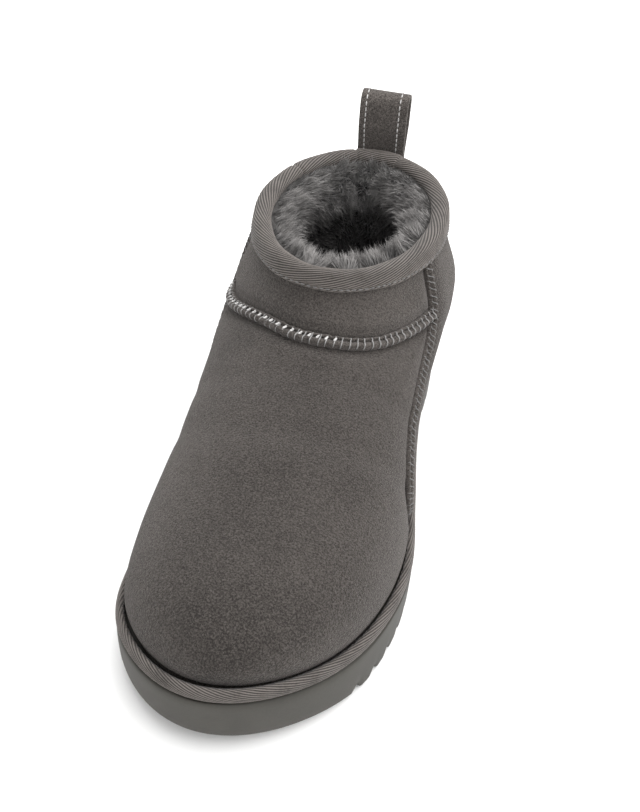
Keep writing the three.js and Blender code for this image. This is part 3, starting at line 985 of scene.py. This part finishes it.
def groove_depth(along, x, edge):
    """edge is 0 in the middle of the sole and 1 at its side, where a groove flares."""
    swing = GROOVE_WAVE * (abs(np.remainder(x / WAVE_STEP + 1, 2) - 1) - 0.5)
    depth = np.zeros(np.shape(along))
    for middle in GROOVES:
        off = abs(along + swing - middle)
        wide = GROOVE_WIDTH / 2 + 0.9 * edge
        deep = GROOVE_DEPTH + 1.4 * edge
        bank = smoothstep(wide - 0.5 - 1.6 * edge, wide + 0.3 + 0.5 * edge, off)
        depth = np.maximum(depth, deep * (1 - bank))
    return depth


def sole_lay(a, b):
    """Along the foot by a and once round the section by b. The wall leans in more at the toe."""
    t = np.pi * a
    cell = b * (UNDER + 2 * SIDE + TOP)
    under = np.clip(cell / UNDER, 0, 1)
    up = np.clip((cell - UNDER) / SIDE, 0, 1)
    over = np.clip((cell - UNDER - SIDE) / TOP, 0, 1)
    down = np.clip((cell - UNDER - SIDE - TOP) / SIDE, 0, 1)
    wall = np.where(cell < UNDER + SIDE + TOP / 2, up, 1 - down)
    inset, share = through(WALL, "s", "inset", wall), through(WALL, "s", "share", wall)
    inset = inset * (1.15 - 0.85 * smoothstep(252, 222, LENGTH * (1 - np.cos(t)) / 2))
    blend = np.where(cell < UNDER, under, 1 - over)
    along, across = across_sole(t, inset, blend)
    edge = smoothstep(0.8, 1.0, abs(2 * blend - 1))
    low = bottom_z(along) + groove_depth(along, across - ACROSS_MIDDLE, edge)
    return place(along, across, low + (rim_z(along) - low) * share)


sole_mesh = grid_mesh("moulded_sole", 640, UNDER + 2 * SIDE + TOP, sole_lay, shut=True)
bm = bmesh.new()
bm.from_mesh(sole_mesh)
bmesh.ops.recalc_face_normals(bm, faces=bm.faces)
bm.to_mesh(sole_mesh)
bm.free()
finish_piece(sole_mesh, foam, "foam", "outsole")

# %% [markdown]
# ## The pull loop
# A strip of suede is folded double and both tails are sewn behind the collar. It is laid out
# as a path seen from the side, and the grid's other direction is the strip's width. Behind
# the collar it follows the collar's own curve.

# %% Pull loop
loop_low, loop_high = (np.array(corner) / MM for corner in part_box("pull_loop"))
STRIP = 1.9  # thickness of the strip
LOOP_LEAN = 3.4  # how far the bight leans over the boot's opening
COLLAR_ROUND = 84  # twice the radius of the collar's curve behind the heel
LOOP_WIDTH = loop_high[0] - loop_low[0]
LOOP_MIDDLE = (loop_high[0] + loop_low[0]) / 2
BEHIND_COLLAR = float((skin(1, 0) + outward(1.0, 0.0) * STRIP)[1])
print("loop", round(LOOP_WIDTH, 1), "mm wide, its tails", round(BEHIND_COLLAR, 1), "mm back")


def loop_path(a):
    """The strip's middle, as y and z, from one tail's end over the bight to the other's."""
    neck, top = float(skin(1, 0)[2]) + 4, loop_high[2]
    front = BEHIND_COLLAR - LOOP_LEAN + STRIP / 2
    back = loop_high[1] - STRIP / 2
    radius = (back - front) / 2
    turns = np.linspace(0, np.pi, 13)
    tail = BEHIND_COLLAR + 1.5 * STRIP + 0.05
    rows = [(tail, loop_low[2]), (tail, 92), (tail, 106), (tail, neck - 2),
            ((tail + back) / 2, neck + 4), (back, neck + 10)]
    bight_z = top - STRIP / 2 - radius
    rows += [((front + back) / 2 + radius * math.cos(t), bight_z + radius * math.sin(t)) for t in turns]
    lead = BEHIND_COLLAR + STRIP / 2
    rows += [(front, neck + 10), ((front + lead) / 2, neck + 4), (lead, neck - 2), (lead, 106),
             (lead, 92), (lead, loop_low[2])]
    rows = np.array(rows)
    run = np.r_[0, np.cumsum(np.linalg.norm(np.diff(rows, axis=0), axis=1))]
    return np.interp(a, run / run[-1], rows[:, 0]), np.interp(a, run / run[-1], rows[:, 1])


def loop_lay(a, b):
    y, z = loop_path(a)
    x = (b - 0.5) * (LOOP_WIDTH - 0.4)
    hug = (1 - smoothstep(112, 128, z)) * x ** 2 / COLLAR_ROUND
    return np.stack([LOOP_MIDDLE + x, y - hug, z], -1)


loop_mesh = grid_mesh("pull_loop_strip", 150, 16, loop_lay)
pull_loop = finish_piece(loop_mesh, painted_lit_loop_suede, "suede", "pull_loop")
thickness(pull_loop, STRIP * 0.92, 0.0)
rounded = pull_loop.modifiers.new("rounded", "BEVEL")
rounded.width, rounded.segments, rounded.limit_method = 0.35 * MM, 2, "ANGLE"

# %% Stitches in the loop
def loop_stitches():
    origins, along, side, out = [], [], [], []
    a = np.linspace(0.02, 0.98, 46)
    for b in (0.13, 0.83):
        here = loop_lay(a, np.full_like(a, b))
        ahead = unit(loop_lay(a + 1e-3, np.full_like(a, b)) - loop_lay(a - 1e-3, np.full_like(a, b)))
        across = unit(loop_lay(a, np.full_like(a, b + 0.01)) - here)
        normal = unit(np.cross(ahead, across))
        for face in (1, -1):
            origins.append(here + normal * face * (STRIP / 2 - 0.02))
            along.append(ahead * 2.3)
            side.append(across * 0.62)
            out.append(normal * face * 0.5)
    return [np.concatenate(rows) for rows in (origins, along, side, out)]


mesh = repeated("pull_loop_stitches", grain(0.6), *loop_stitches())
finish_piece(mesh, loop_thread, "thread")

# %% [markdown]
# ## The fleece
# Wool could be a particle system, but that exports as nothing. Here the bed of the fleece is
# a lumpy sheet inside the upper, and each tuft is a thin blade of three triangles that leans
# with its neighbours, so the wool gathers in locks. The seed is fixed.

# %% Lumps that repeat on every run
def soft_noise(points, size_mm, seed):
    """A smooth field between about -1 and 1, made of a few plane waves."""
    waves = np.random.default_rng(seed)
    total = np.zeros(points.shape[:-1])
    for _ in range(9):
        direction = unit(waves.normal(size=3)) * 2 * np.pi / (size_mm * waves.uniform(0.7, 1.5))
        total += np.sin(points @ direction + waves.uniform(0, 2 * np.pi))
    return total / 3


def locks(points, *seeds):
    """Which way the wool leans in each lock."""
    return np.stack([soft_noise(points, 9, seed) for seed in seeds], -1)


FLEECE = table("v deep", (0, 8), (0.2, 9.5), (0.5, 11), (0.75, 15), (0.88, 17.5), (0.94, 17.5),
               (0.975, 13), (1, 5))
FRONT_TURN, FRONT_WIDTH = 2.9, 1.1  # where the fleece stands highest, and how far round
FRONT_RISE = 6  # how much higher its tips reach there
BED_SHARE = 0.6  # the bed lies this share of the way to the wool's tips
BED = 2.0  # thickness of the felted wool under the tufts
print("fleece depth", FLEECE["deep"].min(), "to", FLEECE["deep"].max(), "mm")


def at_front(turn):
    """1 over the instep, where the foot has pushed the fleece up, and 0 at the heel."""
    return bell(np.remainder(turn, 2 * np.pi), FRONT_TURN, FRONT_WIDTH)


def fleece_at(v, turn, share):
    """share is 0 at the leather and 1 at the wool's tips."""
    deep = through(FLEECE, "v", "deep", v)
    base = skin(v, turn)
    lump = 1 + 0.2 * soft_noise(base, 13, 3) + 0.08 * soft_noise(base, 5, 4) + 0.34 * at_front(turn)
    inside = base - outward(v, turn) * (SUEDE + (deep - SUEDE) * share * lump)[..., None]
    by_collar = smoothstep(0.82, 0.94, v) * smoothstep(1.0, 0.965, v)
    inside[..., 2] += FRONT_RISE * share * at_front(turn) * by_collar
    return inside


def bed_lay(a, b):
    v, turn = 0.03 + 0.965 * b, 2 * np.pi * a
    return fleece_at(v, turn, np.full_like(v, BED_SHARE))


bed = finish_piece(grid_mesh("fleece_bed", 170, 72, bed_lay, shut=True),
                   painted_dark_wool_bed, "fleece", "upper")
thickness(bed, BED)


# %% Tufts
def tufts(name, roots, lean, length, width, light):
    """Blades of three triangles: root, bent middle and tip."""
    count = len(roots)
    side = unit(np.cross(lean, random.normal(size=(count, 3)))) * (width / 2)[:, None]
    curl = random.normal(size=(count, 3)) * (length * 0.11)[:, None]
    middle = roots + lean * (length * 0.55)[:, None] + curl * 0.5
    tip = roots + lean * length[:, None] + curl * 1.3
    low, high = (roots - side, roots + side), (middle - side * 0.75, middle + side * 0.75)
    points = np.stack([*low, *high, tip], 1)
    corners = np.array([[0, 1, 3], [0, 3, 2], [2, 3, 4]])
    step = np.arange(count)[:, None, None] * 5
    rise = np.tile([0, 0, 0.55, 0.55, 1.0], count)
    return joined(name, points.reshape(-1, 3), (corners[None] + step).reshape(-1, 3),
                  np.stack([np.repeat(light, 5), rise], -1))


def wall_tufts(name, count, low, high, length, width, material=wool):
    v, turn = random.uniform(low, high, count), random.uniform(0, 2 * np.pi, count)
    roots = fleece_at(v, turn, np.full(count, 0.5))
    lock = locks(skin(v, turn), 11, 12, 13)
    rise = 0.15 + (0.5 + 0.35 * at_front(turn)) * smoothstep(0.85, 0.95, v)
    lean = -outward(v, turn) + np.array([0, 0, 1.0]) * rise[:, None]
    lean = unit(lean + 0.38 * lock + 0.1 * random.normal(size=(count, 3)))
    deep = through(FLEECE, "v", "deep", v)
    long = length * deep / 10 * random.uniform(0.75, 1.15, count) * (1 - 0.12 * at_front(turn))
    light = (v - low) / (high - low)
    mesh = tufts(name, roots, lean, long, np.full(count, width), light)
    finish_piece(mesh, material, "fleece")


wall_tufts("fleece_collar", 58000, 0.78, 0.98, 5.2, 0.46)
wall_tufts("fleece_walls", 24000, 0.06, 0.80, 5.4, 0.85, painted_dark_deep_wool)


# %% Footbed
FOOTBED_INSET = 13.0  # in from the sole's outline
TUFTS = 10000


def footbed_lay(a, b):
    along, across = across_sole(np.pi * a, FOOTBED_INSET, b)
    crown = 1 - smoothstep(0.75, 1.0, abs(2 * b - 1)) * 0.5
    point = place(along, across, rim_z(along) + 5.5 * crown)
    point[..., 2] += 0.7 * soft_noise(point, 11, 5)
    return point


footbed = finish_piece(grid_mesh("fleece_footbed", 150, 40, footbed_lay, shut=True),
                       painted_dark_wool_bed, "fleece", "insole")
thickness(footbed, BED)
a, b = random.uniform(0.06, 0.94, TUFTS), random.uniform(0.02, 0.98, TUFTS)
roots = footbed_lay(a, b)
lock = locks(roots, 21, 22, 23)
lean = unit(np.array([0, 0, 1.0]) + 0.5 * lock + 0.3 * random.normal(size=(TUFTS, 3)))
mesh = tufts("fleece_footbed_tufts", roots - lean, lean, random.uniform(2.6, 4.2, TUFTS),
             np.full(TUFTS, 0.8), np.ones(TUFTS))
finish_piece(mesh, painted_dark_deep_wool, "fleece")

# %% [markdown]
# ## Floor, light and camera
# The boot stands on a pale floor under large soft lamps, as in a photographer's tent. The
# camera looks down at the toe from the outer side and is rolled a little.

# %% Floor
bm = bmesh.new()
bmesh.ops.create_grid(bm, x_segments=1, y_segments=1, size=3)
floor_mesh = bpy.data.meshes.new("floor")
bm.to_mesh(floor_mesh)
bm.free()
floor = bpy.data.objects.new("floor", floor_mesh)
bpy.context.collection.objects.link(floor)
paper = start_material("paper", 0.9, (0.94, 0.94, 0.935), 0.1)[0]
floor_mesh.materials.append(paper)
print("floor of", paper.name)

# %% Lamps
def lamp(name, at, size, watts):
    data = bpy.data.lights.new(name, "AREA")
    data.shape, data.size, data.energy = "DISK", size, watts
    made = bpy.data.objects.new(name, data)
    made.location = at
    made.rotation_mode = "QUATERNION"
    made.rotation_quaternion = (Vector(at) - Vector((0, 0, 0.05))).to_track_quat("Z", "Y")
    bpy.context.collection.objects.link(made)
    print("lamp", name, watts, "W")


lamp("key", (0.8, 0.0, 1.6), 1.8, 26)
lamp("fill", (0.5, -1.35, 1.1), 1.6, 8)
lamp("top", (-0.2, 0.5, 1.6), 1.6, 18)
world = bpy.data.worlds.new("tent")
world.use_nodes = True
world.node_tree.nodes["Background"].inputs["Color"].default_value = (1, 1, 1, 1)
world.node_tree.nodes["Background"].inputs["Strength"].default_value = 0.76
bpy.context.scene.world = world
bpy.context.scene.view_settings.view_transform = "Standard"

# %% Camera
FOCAL = 1000.0 / 812.0  # focal length over the long side of the picture
SENSOR = 36
AZIMUTH, ELEVATION, ROLL = math.radians(26.8), math.radians(41.0), math.radians(-5.5)
camera_at = Vector((68 - ACROSS_MIDDLE, -320, 322)) * MM
back = Vector((math.sin(AZIMUTH) * math.cos(ELEVATION), -math.cos(AZIMUTH) * math.cos(ELEVATION),
               math.sin(ELEVATION)))
right = back.cross(Vector((0, 0, -1))).normalized()
up = back.cross(right)
right, up = (right * math.cos(ROLL) + up * math.sin(ROLL), up * math.cos(ROLL) - right * math.sin(ROLL))
middle = Vector((0.0, 0.004, 0.052))
aim = (camera_at - middle).normalized()
turned = back.rotation_difference(aim)
right, up = turned @ right, turned @ up
camera_data = bpy.data.cameras.new("camera")
camera_data.sensor_width = SENSOR
camera_data.lens = SENSOR * FOCAL
camera = bpy.data.objects.new("camera", camera_data)
camera.matrix_world = Matrix((right, up, aim)).transposed().to_4x4()
camera.location = camera_at
bpy.context.collection.objects.link(camera)
bpy.context.scene.camera = camera
print("camera", [round(x, 3) for x in camera_at], "lens", round(camera_data.lens, 1))
